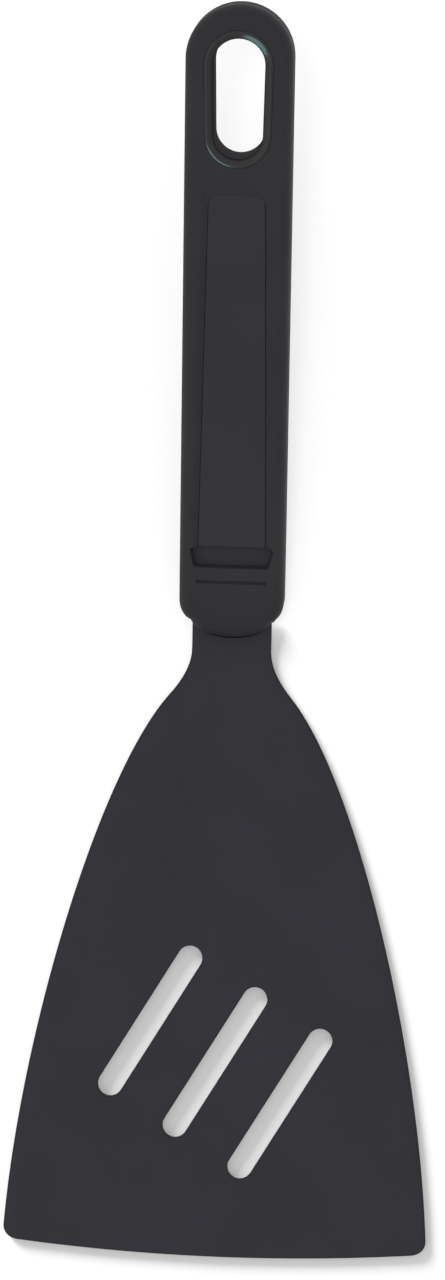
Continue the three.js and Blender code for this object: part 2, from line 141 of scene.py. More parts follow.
def arc(cx, cy, radius, start, end, steps):
    """Points of a circle from one angle in degrees to another, both ends included."""
    angles = [math.radians(start + (end - start) * i / steps) for i in range(steps + 1)]
    return [(cx + radius * math.cos(a), cy + radius * math.sin(a)) for a in angles]


def line(a, b, steps):
    """Points from a to b, without b."""
    return [(a[0] + (b[0] - a[0]) * i / steps, a[1] + (b[1] - a[1]) * i / steps) for i in range(steps)]


def mirrored(half):
    """A closed loop from its right-hand half."""
    left = [(-x, y) for x, y in reversed(half) if x > 1e-6]
    return half + left


def offset(loop, distance):
    """The loop moved to its left by a distance, which is into the material on every loop here."""
    moved = []
    count = len(loop)
    for i in range(count):
        before, here, after = (Vector(loop[(i + k) % count]) for k in (-1, 0, 1))
        a, b = (here - before).normalized(), (after - here).normalized()
        na, nb = Vector((-a.y, a.x)), Vector((-b.y, b.x))
        middle = (na + nb).normalized()
        moved.append(tuple(here + middle * distance / max(0.35, middle.dot(na))))
    return moved


# ---------------------------------------------------------------- mesh building
def ring(mesh, loop, z):
    """Vertices of a loop at one height, or at a height for each point."""
    heights = z if isinstance(z, list) else [z] * len(loop)
    return [mesh.verts.new((x, y, h)) for (x, y), h in zip(loop, heights)]


def bridge(mesh, low, high):
    """Quads between two matched rings; low is crossed anticlockwise on an outer wall."""
    count = len(low)
    for i in range(count):
        j = (i + 1) % count
        mesh.faces.new((low[i], low[j], high[j], high[i]))


def wall(mesh, loop, profile):
    """A wall swept round a loop through (inset, z) steps. Returns its first and last rings."""
    rings = [ring(mesh, offset(loop, inset) if inset else loop, z) for inset, z in profile]
    for low, high in zip(rings, rings[1:]):
        bridge(mesh, low, high)
    return rings[0], rings[-1]


def loop_edges(vertices):
    count = len(vertices)
    found = []
    for i in range(count):
        a, b = vertices[i], vertices[(i + 1) % count]
        found.append(next(e for e in a.link_edges if e.other_vert(a) == b))
    return found


def cap(mesh, *rings):
    """A flat face between an outer ring and any rings inside it."""
    edges = [e for vertices in rings for e in loop_edges(vertices)]
    bmesh.ops.triangle_fill(mesh, use_beauty=True, use_dissolve=False, edges=edges)


def slice_across(mesh, places):
    """Cuts the mesh by planes across Y, so that it can bend there."""
    for y in places:
        geometry = mesh.verts[:] + mesh.edges[:] + mesh.faces[:]
        bmesh.ops.bisect_plane(mesh, geom=geometry, plane_co=(0, y, 0), plane_no=(0, 1, 0), dist=1e-5)


def spaced(start, end, step):
    count = max(1, round((end - start) / step))
    return [start + (end - start) * i / count for i in range(count + 1)]


def handle_matrix():
    return Matrix.Translation((0, 0, BLADE_THICKNESS / 2)) @ Matrix.Rotation(HANDLE_RISE, 4, "X")


def made(mesh, name, in_handle=False):
    """The finished object of a mesh drawn in mm, in the blade's frame or the handle's."""
    bmesh.ops.recalc_face_normals(mesh, faces=mesh.faces[:])
    place = handle_matrix() if in_handle else Matrix.Identity(4)
    bmesh.ops.transform(mesh, matrix=Matrix.Scale(MM, 4) @ place, verts=mesh.verts[:])
    data = bpy.data.meshes.new(name)
    mesh.to_mesh(data)
    mesh.free()
    piece = bpy.data.objects.new(name, data)
    bpy.context.scene.collection.objects.link(piece)
    return piece


def smooth(piece, sharp_degrees=38):
    data = piece.data
    data.shade_smooth()
    data.set_sharp_from_angle(angle=math.radians(sharp_degrees))
    weighted = piece.modifiers.new("weighted_normals", "WEIGHTED_NORMAL")
    weighted.keep_sharp = True
    weighted.weight = 100


def rounded_edge(radius, z_flat, z_side, steps):
    """(inset, z) steps of a rounded edge, from the side wall to the flat face."""
    steps_list = []
    for i in range(steps + 1):
        a = math.pi / 2 * i / steps
        inset = radius * (1 - math.cos(a))
        z = z_side + (z_flat - z_side) * math.sin(a)
        steps_list.append((inset, z))
    return steps_list


# ---------------------------------------------------------------- blade
def blade_loop():
    corner_y = LEADING_EDGE_Y + LEADING_EDGE_SAG
    edge_end = BLADE_HALF_WIDTH - CORNER_RADIUS
    half = []
    for x in [edge_end * i / 16 for i in range(16)]:
        half.append((x, LEADING_EDGE_Y + LEADING_EDGE_SAG * (x / edge_end) ** 2))
    k = 0.55 * CORNER_RADIUS
    corner = (BLADE_HALF_WIDTH, corner_y + CORNER_RADIUS)
    controls = (edge_end + k, corner_y + 0.25), (corner[0] - 0.06, corner[1] - k)
    half += bezier((edge_end, corner_y), *controls, corner, 8)
    flare_end = (NECK_HALF_WIDTH, NECK_FLARE_Y)
    half += bezier(corner, *SIDE_CURVE, 48)
    half += bezier(SIDE_CURVE[-1], *NECK_FLARE_CONTROLS, flare_end, 12)
    half += line(flare_end, (NECK_HALF_WIDTH, TANG_SHOULDER), 3)
    half += [(NECK_HALF_WIDTH, TANG_SHOULDER), (0, TANG_SHOULDER)]
    return mirrored(half)


def tang_loop():
    side, end = TANG_HALF_WIDTH, TANG_END - TANG_HALF_WIDTH
    half = [(0, TANG_SHOULDER), (side, TANG_SHOULDER)] + line((side, TANG_SHOULDER + 1), (side, end), 4)
    return mirrored(half + arc(0, end, side, 0, 90, 8))


def slot_loop(index):
    half_length = SLOT_CENTRES_APART / 2
    straight = arc(0, half_length, SLOT_RADIUS, 0, 180, 16) + arc(0, -half_length, SLOT_RADIUS, 180, 360, 16)
    across = index * SLOT_PITCH
    centre = Vector(MIDDLE_SLOT_CENTRE) + Vector((math.cos(SLOT_ANGLE), -math.sin(SLOT_ANGLE))) * across
    turn = Matrix.Rotation(-SLOT_ANGLE, 2)
    loop = [tuple(turn @ Vector(point) + centre) for point in straight]
    return loop[::-1]


def circle_loop(y, radius, steps=24):
    """A clockwise circle, the edge of a hole."""
    return arc(0, y, radius, 0, 360, steps)[:-1][::-1]


def bend_up(mesh):
    """Bends the flat strip past the neck up into the handle's slope."""
    start = -NECK_BEND_RADIUS * math.tan(HANDLE_RISE / 2)
    length = NECK_BEND_RADIUS * HANDLE_RISE
    middle = BLADE_THICKNESS / 2
    for v in mesh.verts:
        along = v.co.y - start
        if along <= 0:
            continue
        angle = min(along, length) / NECK_BEND_RADIUS
        past = max(0.0, along - length)
        reach = NECK_BEND_RADIUS - (v.co.z - middle)
        v.co.y = start + reach * math.sin(angle) + past * math.cos(angle)
        v.co.z = middle + NECK_BEND_RADIUS - reach * math.cos(angle) + past * math.sin(angle)


def blade():
    top = BLADE_THICKNESS
    edge = [(0.45, 0), (0.2, 0.08), (0.05, 0.28), (0, 0.6), (0, 1.25), (0.06, 1.5), (0.24, 1.7), (0.6, 1.86)]
    edge += [(1.5, 2.16), (2.0, 2.3), (2.35, 2.37), (2.8, top)]
    slot_edge = [(0.35, 0), (0.1, 0.1), (0, 0.35), (0, 1.95), (0.06, 2.17), (0.2, 2.33), (0.45, top)]
    mesh = bmesh.new()
    low, high = wall(mesh, blade_loop(), edge)
    lows, highs = [low], [high]
    for index in (-1, 0, 1):
        low, high = wall(mesh, slot_loop(index), slot_edge)
        lows.append(low)
        highs.append(high)
    cap(mesh, *lows)
    cap(mesh, *highs)
    slice_across(mesh, spaced(-12, 4, 0.8))
    bend_up(mesh)
    piece = made(mesh, "blade_moulding")
    carve(piece, nose_channel())
    smooth(piece, 50)
    return piece


def nose_channel():
    """The narrow channel in the neck that the edge of the top shell's tongue stands in."""
    right = [Vector(point) for point in nose_half() if point[0] < NECK_HALF_WIDTH - 0.3]
    curve = [Vector((-point.x, point.y)) for point in right[:0:-1]] + right
    outer, inner = [], []
    for i, point in enumerate(curve):
        along = (curve[min(i + 1, len(curve) - 1)] - curve[max(i - 1, 0)]).normalized()
        out = Vector((along.y, -along.x))
        outer.append(tuple(point + out * CHANNEL_OUTWARD))
        inner.append(tuple(point - out * CHANNEL_INWARD))
    mesh = bmesh.new()
    neck_top = BLADE_THICKNESS / 2
    low, high = wall(mesh, outer + inner[::-1], [(0, neck_top - CHANNEL_DEPTH), (0, neck_top + 1)])
    cap(mesh, low)
    cap(mesh, high)
    return made(mesh, "nose_channel", in_handle=True)


def tang():
    """The blade's tang, inside the handle: the same moulding, from where the neck's full width stops."""
    half = BLADE_THICKNESS / 2
    side = [(0.4, -half), (0.1, 0.1 - half), (0, 0.4 - half), (0, half - 0.4), (0.1, half - 0.1), (0.4, half)]
    mesh = bmesh.new()
    low, high = wall(mesh, tang_loop(), side)
    lows, highs = [low], [high]
    for y in (y for y in RIVETS.values() if y < TANG_END):
        low, high = wall(mesh, circle_loop(y, TANG_HOLE_RADIUS), [(0, -half), (0, half)])
        lows.append(low)
        highs.append(high)
    cap(mesh, *lows)
    cap(mesh, *highs)
    piece = made(mesh, "blade_tang", in_handle=True)
    smooth(piece)
    return piece


# ---------------------------------------------------------------- handle shells
def handle_half(start):
    """Right-hand half of the handle's outline from its shoulder to its hanging end."""
    neck = NECK_HALF_WIDTH + GAP
    side = HANDLE_HALF_WIDTH
    end_centre = HANDLE_END - side
    full_width = SHOULDER + SHOULDER_LENGTH
    first, second = (SHOULDER + control for control in SHOULDER_CONTROLS)
    half = bezier((neck, start), (neck + SHOULDER_OUT, first), (side, second), (side, full_width), 12)
    half += line((side, full_width), (side, end_centre), 12)
    half += arc(0, end_centre, side, 0, 90, 28)
    return half


def nose_half():
    """Right-hand half of the rounded tongue, from its tip to where the top shell's shoulder starts."""
    neck = NECK_HALF_WIDTH + GAP
    return bezier((0, NOSE_TIP), *NOSE_CONTROLS, (neck, NOSE_SIDE), 20)


def top_loop():
    return mirrored(nose_half() + handle_half(NOSE_SIDE))


def bottom_loop():
    return mirrored(handle_half(SHOULDER))


def hole_loop(grow):
    """The hang hole's outline, clockwise: two round ends and the straight sides between them."""
    (y0, r0), (y1, r1) = HOLE_INNER, HOLE_OUTER
    loop = arc(0, y1, r1 + grow, 0, 180, 28) + arc(0, y0, r0 + grow, 180, 360, 28)
    return loop[::-1]


def recess_loop(inset_side, inset_neck, inset_end, inset_trough):
    """The sunk panel's outline, clockwise, drawn in from its mouth by so much at each side. The trough
    is its neck end, below the inlay."""
    neck_x, end_x = (half_width - inset_side for half_width in RECESS_HALF_WIDTHS)
    trough_x = RECESS_HALF_WIDTHS[0] - inset_trough
    y0, y1 = RECESS_START + inset_neck, RECESS_END - inset_end
    corner = RECESS_CORNER - 0.5 * inset_side
    side, top = trough_x - RECESS_SPLAY, INLAY_START - TROUGH_STEP
    half = bezier((side - 0.8, y0), (side - 0.2, y0), (side + 0.05, y0 + 0.2), (side + 0.15, y0 + 0.8), 6)
    half += line((side + 0.15, y0 + 0.8), (trough_x - 0.05, top), 5)
    half += bezier((trough_x - 0.05, top), (trough_x, top + 0.5), (neck_x, top + 0.5), (neck_x, top + 1.2), 8)
    half += line((neck_x, top + 1.2), (end_x, y1 - corner), 10)
    half += arc(end_x - corner, y1 - corner, corner, 0, 90, 8)
    return mirrored(half)[::-1]


def groove_loop(grow):
    """The engraved groove across the nose, clockwise: a thin slot lying along X."""
    y, half_length, radius = GROOVE_AT, GROOVE_HALF_LENGTH, GROOVE_RADIUS + grow
    loop = arc(half_length, y, radius, -90, 90, 8) + arc(-half_length, y, radius, 90, 270, 8)
    return loop[::-1]


def panel_wall(mesh):
    """The sunk panel: an eased lip, sloping sides down to the inlay's level, then the pocket's wall."""
    foot_z = TOP_HEIGHT - LIP_DEPTH
    floor_z = TOP_HEIGHT - POCKET_DEPTH
    # share of the slope's width, share of the trough's inset, height
    steps = [(0, 0, TOP_HEIGHT), (0.12, 0.2, TOP_HEIGHT - 0.02), (0.25, 0.4, TOP_HEIGHT - 0.07)]
    steps += [(0.38, 0.55, TOP_HEIGHT - 0.15), (0.62, 0.7, TOP_HEIGHT - 0.39), (0.85, 0.8, foot_z + 0.12)]
    steps += [(0.95, 0.85, foot_z + 0.03), (1.0, 0.9, foot_z - 0.02), (1.03, 0.95, foot_z - 0.12)]
    steps += [(1.04, 1.0, floor_z + 0.2), (1.1, 1.3, floor_z)]
    rings = []
    for side, trough, z in steps:
        trough_inset = TROUGH_INSET * trough
        loop = recess_loop(LIP_WIDTH * side, trough_inset, LIP_END_LENGTH * side, trough_inset)
        rings.append(ring(mesh, loop, z))
    for high, low in zip(rings, rings[1:]):
        bridge(mesh, high, low)
    return rings[0], rings[-1]


def top_height(y):
    """Height of the top shell's face along the handle: level, then domed down over the nose."""
    if y >= NOSE_DOME_END:
        return TOP_HEIGHT
    # the curve (tip, edge), (control, face), (dome end, face), solved for its share u at y
    a = NOSE_TIP - 2 * NOSE_DOME_CONTROL + NOSE_DOME_END
    b = 2 * (NOSE_DOME_CONTROL - NOSE_TIP)
    u = (-b + math.sqrt(b * b - 4 * a * (NOSE_TIP - y))) / (2 * a) if y > NOSE_TIP else 0
    return NOSE_EDGE * (1 - u) ** 2 + TOP_HEIGHT * (2 * u * (1 - u) + u * u)


def top_shell():
    mesh = bmesh.new()
    profile = [(0.12, PARTING), (0, PARTING + 0.15)] + rounded_edge(FACE_EDGE_RADIUS, TOP_HEIGHT, FACE_EDGE_START, 10)
    low, high = wall(mesh, top_loop(), profile)
    mouth, floor = panel_wall(mesh)
    groove_profile = [(0.16, TOP_HEIGHT), (0.05, TOP_HEIGHT - 0.03), (-0.05, TOP_HEIGHT - 0.12)]
    groove_profile += [(-0.15, TOP_HEIGHT - 0.3), (-0.25, TOP_HEIGHT - 0.45), (-0.36, TOP_HEIGHT - 0.5)]
    groove_top, groove_floor = wall(mesh, groove_loop(0), groove_profile)
    seat_profile = [(0.02, TOP_HEIGHT), (0, TOP_HEIGHT - 0.03), (0, SEAT_FLOOR)]
    seat_top, seat_low = wall(mesh, hole_loop(SEAT_CLEARANCE), seat_profile)
    bore = ring(mesh, hole_loop(BORE_CLEARANCE), SEAT_FLOOR)
    bore_low = ring(mesh, hole_loop(BORE_CLEARANCE), PARTING)
    bridge(mesh, seat_low, bore)
    bridge(mesh, bore, bore_low)
    cap(mesh, high, mouth, groove_top, seat_top)
    cap(mesh, floor)
    cap(mesh, groove_floor)
    cap(mesh, low, bore_low)
    slice_across(mesh, spaced(NOSE_TIP + 0.4, NOSE_DOME_END, 0.6))
    for v in mesh.verts:
        share = (v.co.z - PARTING) / (TOP_HEIGHT - PARTING)
        v.co.z += (top_height(v.co.y) - TOP_HEIGHT) * share
    piece = made(mesh, "handle_top_moulding", in_handle=True)
    return piece


def table_depth(y):
    return (BLADE_THICKNESS / 2 + y * math.sin(HANDLE_RISE)) / math.cos(HANDLE_RISE)


def back_depth(y):
    """Depth of the handle's back below the parting plane: the heel, then a sweep to the full depth."""
    if y <= HEEL_END:
        return table_depth(y)
    if y >= FULL_DEPTH_FROM:
        return BOTTOM_DEPTH
    t = (y - HEEL_END) / (FULL_DEPTH_FROM - HEEL_END)
    start = table_depth(HEEL_END)
    slope = math.tan(HANDLE_RISE) * (FULL_DEPTH_FROM - HEEL_END)
    rise = BOTTOM_DEPTH - start
    # cubic from the heel's slope to level
    return start + slope * (t - 2 * t * t + t**3) + rise * (3 * t * t - 2 * t**3)


def bottom_shell():
    mesh = bmesh.new()
    profile = [(0.12, -PARTING), (0, -PARTING - 0.15)]
    profile += rounded_edge(BACK_EDGE_RADIUS, -BOTTOM_DEPTH, -BACK_EDGE_START, 10)
    high, low = wall(mesh, bottom_loop(), profile)
    bore_top = ring(mesh, hole_loop(BORE_CLEARANCE), -PARTING)
    bore_edge = [(0, -BOTTOM_DEPTH + 0.1), (0.1, -BOTTOM_DEPTH)]
    bore_low, edge = wall(mesh, hole_loop(BORE_CLEARANCE), bore_edge)
    bridge(mesh, bore_top, bore_low)
    cap(mesh, high, bore_top)
    seats = []
    for y in RIVETS.values():
        seat_profile = [(0.25, -BOTTOM_DEPTH), (0.05, -BOTTOM_DEPTH + 0.12), (0, -BOTTOM_DEPTH + 0.5)]
        top, bottom = wall(mesh, circle_loop(y, RIVET_SEAT_RADIUS), seat_profile)
        seats.append(top)
        cap(mesh, bottom)
    cap(mesh, low, edge, *seats)
    slice_across(mesh, spaced(SHOULDER + 0.4, FULL_DEPTH_FROM, 0.8))
    for v in mesh.verts:
        share = (v.co.z + PARTING) / (PARTING - BOTTOM_DEPTH)
        v.co.z += (BOTTOM_DEPTH - back_depth(v.co.y)) * share
    return made(mesh, "handle_back_moulding", in_handle=True)


def carve(piece, cutter):
    """Cuts one mesh out of another for good."""
    cut = piece.modifiers.new("cut", "BOOLEAN")
    cut.operation = "DIFFERENCE"
    cut.solver = "MANIFOLD"
    cut.object = cutter
    bpy.context.view_layer.update()
    evaluated = piece.evaluated_get(bpy.context.evaluated_depsgraph_get())
    old = piece.data
    piece.data = bpy.data.meshes.new_from_object(evaluated)
    piece.modifiers.clear()
    bpy.data.meshes.remove(old)
    bpy.data.objects.remove(cutter)


def block(loop, low_z, high_z, *holes):
    """The mesh of a cutting shape: an outline raised between two heights, with any holes left in it."""
    mesh = bmesh.new()
    walls = [wall(mesh, outline, [(0, low_z), (0, high_z)]) for outline in (loop, *holes)]
    cap(mesh, *(low for low, _ in walls))
    cap(mesh, *(high for _, high in walls))
    return mesh


def cut_away(shell, mesh):
    """Cuts a mesh drawn in the handle's frame out of a shell."""
    carve(shell, made(mesh, "cutter", in_handle=True))


def neck_clearance():
    """The space that the neck and tang take inside the shells, with a little room round them."""
    neck_x = NECK_HALF_WIDTH + NECK_ROOM
    tang_x = TANG_HALF_WIDTH + NECK_ROOM
    shoulder_y = TANG_SHOULDER + 0.2
    half = [(neck_x, -4), (neck_x, shoulder_y), (tang_x, shoulder_y), (tang_x, TANG_END + 1)]
    thick = BLADE_THICKNESS / 2 + NECK_ROOM
    return block(mirrored(half), -thick, thick)


def hollow_plan():
    """The shells' hollow seen from above: its outline, and the solid left round the hole and the rivets."""
    outline = offset(bottom_loop(), SHELL_WALL)
    bosses = [circle_loop(y, BOSS_RADIUS) for y in RIVETS.values()]
    return outline, [hole_loop(BORE_CLEARANCE + SHELL_WALL), *bosses]


def hollow_top(shell):
    """Leaves the top shell's walls, its bosses and the wall round its hole, and drills it for the rivets."""
    outline, solids = hollow_plan()
    cut_away(shell, neck_clearance())
    cut_away(shell, block(outline, -1, TOP_CEILING, *solids))
    for y in RIVETS.values():
        if y < TANG_END:
            cut_away(shell, block(circle_loop(y, BOSS_RADIUS + 0.05), -1, FRONT_BOSS_END))
        cut_away(shell, block(circle_loop(y, RIVET_HOLE_RADIUS), -1, TOP_HEIGHT))
        cut_away(shell, block(circle_loop(y, RIVET_SEAT_RADIUS), HEAD_POCKET_FLOOR, TOP_HEIGHT))


def hollow_back(shell):
    """The same for the back shell, whose hollow follows the sweep of its back."""
    outline, solids = hollow_plan()
    hollow = block(outline, -BOTTOM_DEPTH, 1, *solids)
    slice_across(hollow, spaced(SHOULDER + SHELL_WALL + 0.4, FULL_DEPTH_FROM, 0.8))
    for v in hollow.verts:
        if v.co.z < 0:
            v.co.z = SHELL_WALL - back_depth(v.co.y)
    cut_away(shell, neck_clearance())
    cut_away(shell, hollow)
    for y in RIVETS.values():
        cut_away(shell, block(circle_loop(y, RIVET_HOLE_RADIUS), -2 * BOTTOM_DEPTH, 1))


# ---------------------------------------------------------------- pieces fitted to the shells
def inlay_loop():
    neck_x, end_x = (half_width - LIP_WIDTH - INLAY_SEAM for half_width in RECESS_HALF_WIDTHS)
    corner = INLAY_CORNER
    end = RECESS_END - LIP_END_LENGTH - INLAY_END_SEAM
    end_corner = INLAY_END_CORNER - INLAY_SEAM
    half = [(neck_x - corner, INLAY_START), (neck_x - 0.3 * corner, INLAY_START + 0.2 * corner)]
    half += line((neck_x, INLAY_START + corner), (end_x, end - end_corner), 12)
    half += arc(end_x - end_corner, end - end_corner, end_corner, 0, 90, 8)
    return mirrored(half)


def inlay():
    """The grip panel: a thin plate that fills the pocket, with softly rounded edges."""
    top = TOP_HEIGHT - LIP_DEPTH
    bottom = top - INLAY_THICKNESS
    profile = [(0.3, bottom), (0, bottom + 0.3)] + rounded_edge(0.2, top, top - 0.2, 5)
    mesh = bmesh.new()
    low, high = wall(mesh, inlay_loop(), profile)
    cap(mesh, low)
    cap(mesh, high)
    piece = made(mesh, "grip_inlay_panel", in_handle=True)
    smooth(piece)
    return piece


def eyelet():
    """The hang hole's liner: one closed profile swept round the hole. Its rim slopes in to the bore and
    a little way out to the face."""
    back, face = -BOTTOM_DEPTH, TOP_HEIGHT
    profile = [(1.2, back), (0.5, back - 0.02), (0.12, back + 0.15), (0, back + 0.5), (0, face - 0.9)]
    profile += [(0.01, face - 0.7), (0.05, face - 0.55), (0.13, face - 0.41), (0.28, face - 0.3)]
    profile += [(0.55, face - 0.17), (0.85, face - 0.03), (1.1, face + 0.08), (1.25, face + 0.14)]
    profile += [(1.38, face + 0.17), (1.5, face + 0.17), (1.62, face + 0.13), (1.8, face + 0.05)]
    profile += [(1.95, face - 0.02), (2.0, face - 0.1), (2.0, face - 1.25), (1.2, face - 1.3)]
    mesh = bmesh.new()
    rings = [ring(mesh, hole_loop(grow), z) for grow, z in profile]
    for low, high in zip(rings, rings[1:] + rings[:1]):
        bridge(mesh, low, high)
    piece = made(mesh, "hang_hole_liner", in_handle=True)
    smooth(piece, 60)
    return piece


def rivet(name, y):
    """A domed rivet head on the back, its shank and its flat head under the inlay."""
    back = -BOTTOM_DEPTH
    profile = [(0, back - 0.72), (0.7, back - 0.7), (1.4, back - 0.6), (2.0, back - 0.42), (2.5, back - 0.12)]
    profile += [(2.75, back + 0.15), (2.8, back + 0.35), (2.7, back + 0.42), (1.5, back + 0.42)]
    profile += [(1.5, 4.42), (2.7, 4.45), (2.8, 4.52), (2.8, 4.74), (2.65, 4.83), (0, 4.84)]
    steps = 40
    mesh = bmesh.new()
    rings = []
    for radius, z in profile:
        if radius == 0:
            rings.append([mesh.verts.new((0, y, z))])
            continue
        rings.append(ring(mesh, arc(0, y, radius, 0, 360, steps)[:-1], z))
    for low, high in zip(rings, rings[1:]):
        if len(low) == 1 or len(high) == 1:
            tip, round_ring = (low[0], high) if len(low) == 1 else (high[0], low)
            for i in range(steps):
                mesh.faces.new((tip, round_ring[i], round_ring[(i + 1) % steps]))
            continue
        bridge(mesh, low, high)
    piece = made(mesh, name, in_handle=True)
    smooth(piece, 45)
    return piece


# ---------------------------------------------------------------- materials
def node(tree, kind, **values):
    made_node = tree.nodes.new(kind)
    for key, value in values.items():
        if key in made_node.inputs:
            made_node.inputs[key].default_value = value
        else:
            setattr(made_node, key, value)
    return made_node


def plastic(name, colour, roughness, grain=0.02, mottling=0.06, specular=0.12, spread=0.06, shade_painted_below=None):
    """Moulded nylon: fine tooling grain, faint cloudy tone, small changes of sheen, and painted shade in creases from
    an occlusion node.
    Below a height given in mm, mostly eased edges and the underside, the base colour is painted a fifth darker as
    shade."""
    material = bpy.data.materials.new(name)
    material.use_nodes = True
    tree = material.node_tree
    shader = tree.nodes["Principled BSDF"]
    shader.inputs["Specular IOR Level"].default_value = specular
    place = node(tree, "ShaderNodeTexCoord")
    link = tree.links.new

    cloud = node(tree, "ShaderNodeTexNoise", Scale=38.0, Detail=5.0, Roughness=0.6)
    link(place.outputs["Object"], cloud.inputs["Vector"])
    tone = node(tree, "ShaderNodeValToRGB")
    for element, place_on_ramp, shift in zip(tone.color_ramp.elements, (0.35, 0.65), (-mottling, mottling)):
        element.position = place_on_ramp
        element.color = (*(c * (1 + shift) for c in colour), 1)
    link(cloud.outputs["Fac"], tone.inputs["Fac"])

    # painted shade: the occlusion node darkens the base colour in creases and narrow gaps, down to 0.3 of it
    crease = node(tree, "ShaderNodeAmbientOcclusion", samples=8, Distance=0.7 * MM)
    shade = node(tree, "ShaderNodeMapRange")
    shade.inputs["From Min"].default_value = 0.3
    shade.inputs["From Max"].default_value = 0.75
    shade.inputs["To Min"].default_value = 0.3
    link(crease.outputs["AO"], shade.inputs["Value"])
    painted_shade_factor = shade.outputs["Result"]
    # painted shade: below the given height the base colour is made a fifth darker
    if shade_painted_below is not None:
        split = node(tree, "ShaderNodeSeparateXYZ")
        link(place.outputs["Object"], split.inputs["Vector"])
        edge_shade_band = node(tree, "ShaderNodeMapRange")
        edge_shade_band.inputs["From Min"].default_value = (shade_painted_below - 0.12) * MM
        edge_shade_band.inputs["From Max"].default_value = shade_painted_below * MM
        edge_shade_band.inputs["To Min"].default_value = 0.8
        link(split.outputs["Z"], edge_shade_band.inputs["Value"])
        both = node(tree, "ShaderNodeMath", operation="MULTIPLY")
        link(painted_shade_factor, both.inputs[0])
        link(edge_shade_band.outputs["Result"], both.inputs[1])
        painted_shade_factor = both.outputs["Value"]
    shaded = node(tree, "ShaderNodeVectorMath", operation="SCALE")
    link(tone.outputs["Color"], shaded.inputs[0])
    link(painted_shade_factor, shaded.inputs["Scale"])
    link(shaded.outputs["Vector"], shader.inputs["Base Color"])

    patch = node(tree, "ShaderNodeTexNoise", Scale=90.0, Detail=3.0)
    link(place.outputs["Object"], patch.inputs["Vector"])
    sheen = node(tree, "ShaderNodeMapRange")
    sheen.inputs["To Min"].default_value = roughness - spread
    sheen.inputs["To Max"].default_value = roughness + spread
    link(patch.outputs["Fac"], sheen.inputs["Value"])
    link(sheen.outputs["Result"], shader.inputs["Roughness"])

    grit = node(tree, "ShaderNodeTexNoise", Scale=2500.0, Detail=2.0, Roughness=0.5)
    link(place.outputs["Object"], grit.inputs["Vector"])
    bump = node(tree, "ShaderNodeBump", Strength=grain, Distance=0.2 * MM)
    link(grit.outputs["Fac"], bump.inputs["Height"])
    link(bump.outputs["Normal"], shader.inputs["Normal"])
    return material


def rim_gloss_and_bore_light(material, glossy, bore_painted_light):
    """Keeps the polish to the rim. The bore, lower in the handle's frame, stays dull, and its base colour is painted
    paler by the given factor, as painted light.
    """
    tree = material.node_tree
    link = tree.links.new
    shader = tree.nodes["Principled BSDF"]
    place = node(tree, "ShaderNodeTexCoord")
    level = node(tree, "ShaderNodeVectorMath", operation="DOT_PRODUCT")
    level.inputs[1].default_value = (0, -math.sin(HANDLE_RISE), math.cos(HANDLE_RISE))
    link(place.outputs["Object"], level.inputs[0])
    parting = BLADE_THICKNESS / 2 * math.cos(HANDLE_RISE)
    colour = shader.inputs["Base Color"].links[0].from_socket
    # painted light: the bore's base colour is scaled paler to stand in for light it lacks
    painted_light_colour = node(tree, "ShaderNodeVectorMath", operation="SCALE")
    link(colour, painted_light_colour.inputs[0])
    gloss = (-0.4, -0.2, 0, glossy, shader.inputs["Specular IOR Level"])
    bore_light_span = (-2.6, -1.2, bore_painted_light, 1, painted_light_colour.inputs["Scale"])
    for start, end, low, high, socket in (gloss, bore_light_span):
        share = node(tree, "ShaderNodeMapRange")
        share.inputs["From Min"].default_value = (TOP_HEIGHT + start + parting) * MM
        share.inputs["From Max"].default_value = (TOP_HEIGHT + end + parting) * MM
        share.inputs["To Min"].default_value = low
        share.inputs["To Max"].default_value = high
        link(level.outputs["Value"], share.inputs["Value"])
        link(share.outputs["Result"], socket)
    link(painted_light_colour.outputs["Vector"], shader.inputs["Base Color"])


def metal(name, colour, roughness, brushed=True):
    """Brushed or rolled metal with fine streaks."""
    material = bpy.data.materials.new(name)
    material.use_nodes = True
    tree = material.node_tree
    shader = tree.nodes["Principled BSDF"]
    shader.inputs["Metallic"].default_value = 1.0
    link = tree.links.new
    place = node(tree, "ShaderNodeTexCoord")
    stretch = node(tree, "ShaderNodeMapping")
    stretch.inputs["Scale"].default_value = (1, 0.06 if brushed else 1, 1)
    link(place.outputs["Object"], stretch.inputs["Vector"])
    streak = node(tree, "ShaderNodeTexNoise", Scale=2200.0, Detail=3.0)
    link(stretch.outputs["Vector"], streak.inputs["Vector"])
    tone = node(tree, "ShaderNodeValToRGB")
    tone.color_ramp.elements[0].color = (*(c * 0.85 for c in colour), 1)
    tone.color_ramp.elements[1].color = (*(min(1, c * 1.1) for c in colour), 1)
    link(streak.outputs["Fac"], tone.inputs["Fac"])
    link(tone.outputs["Color"], shader.inputs["Base Color"])
    rough = node(tree, "ShaderNodeMapRange")
    rough.inputs["To Min"].default_value = roughness - 0.08
    rough.inputs["To Max"].default_value = roughness + 0.1
    link(streak.outputs["Fac"], rough.inputs["Value"])
    link(rough.outputs["Result"], shader.inputs["Roughness"])
    bump = node(tree, "ShaderNodeBump", Strength=0.15, Distance=0.0001)
    link(streak.outputs["Fac"], bump.inputs["Height"])
    link(bump.outputs["Normal"], shader.inputs["Normal"])
    return material


# the blade's colour below 1.86 mm, on its eased edges, slot walls and underside, is painted a fifth darker as shade
BLADE_NYLON = plastic("blade_nylon", (0.0412, 0.0397, 0.0488), 0.6, specular=0.08, shade_painted_below=1.86)
SHELL_NYLON = plastic("shell_nylon", (0.0403, 0.0393, 0.0442), 0.6, specular=0.05)
INLAY_PLASTIC = plastic("inlay_plastic", (0.0381, 0.0366, 0.0454), 0.5, grain=0.01, specular=0.1)
EYELET_PLASTIC = plastic("eyelet_plastic", (0.0350, 0.0345, 0.0370), 0.2, grain=0.0, spread=0.03)
